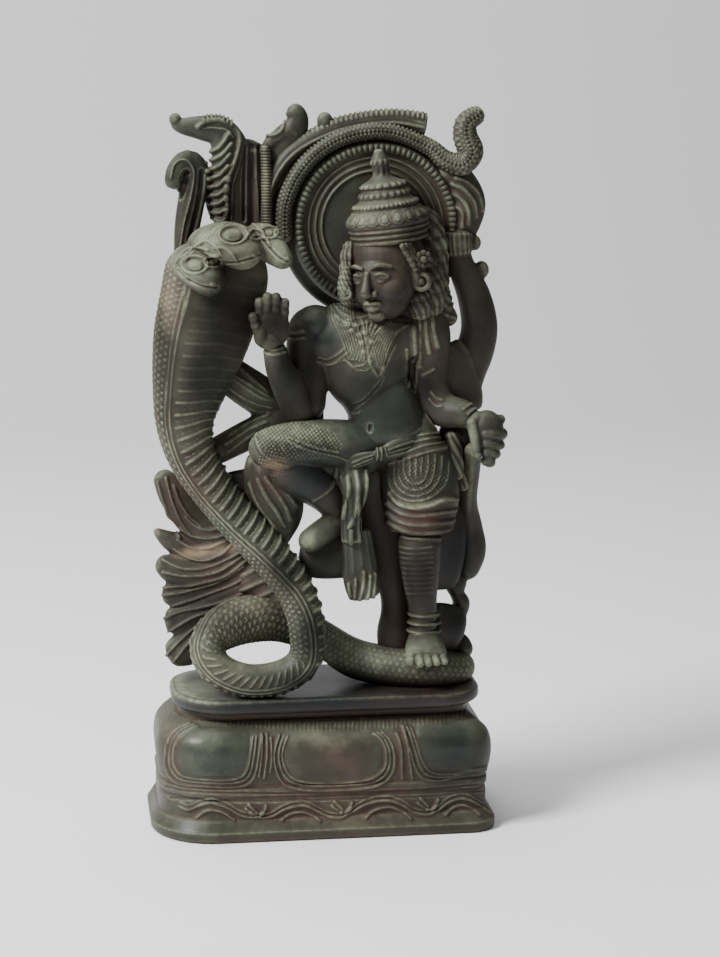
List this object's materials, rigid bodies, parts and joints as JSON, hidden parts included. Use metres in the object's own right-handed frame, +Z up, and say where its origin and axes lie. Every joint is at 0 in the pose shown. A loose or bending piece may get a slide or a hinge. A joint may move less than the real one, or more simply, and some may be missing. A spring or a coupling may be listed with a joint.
{
  "type": "shiva figure",
  "caption": "Carved stone temple figure with one foot on the coil of a hooded cobra, before a haloed pierced arch, on a petal-moulded plinth.",
  "frame": {"origin": "middle of the plinth's underside, on the surface it stands on", "axes": "+Z is up, the figure faces -Y, and +X is to the right of someone facing it; the plinth's long front runs along X"},
  "size_m": [0.1094, 0.05, 0.2233],
  "materials": {
    "stone": "black-finished soft stone, oiled and dusty in the recesses"
  },
  "bodies": {
    "root": {"shiva_figure": "stone"}
  },
  "joints": []
}
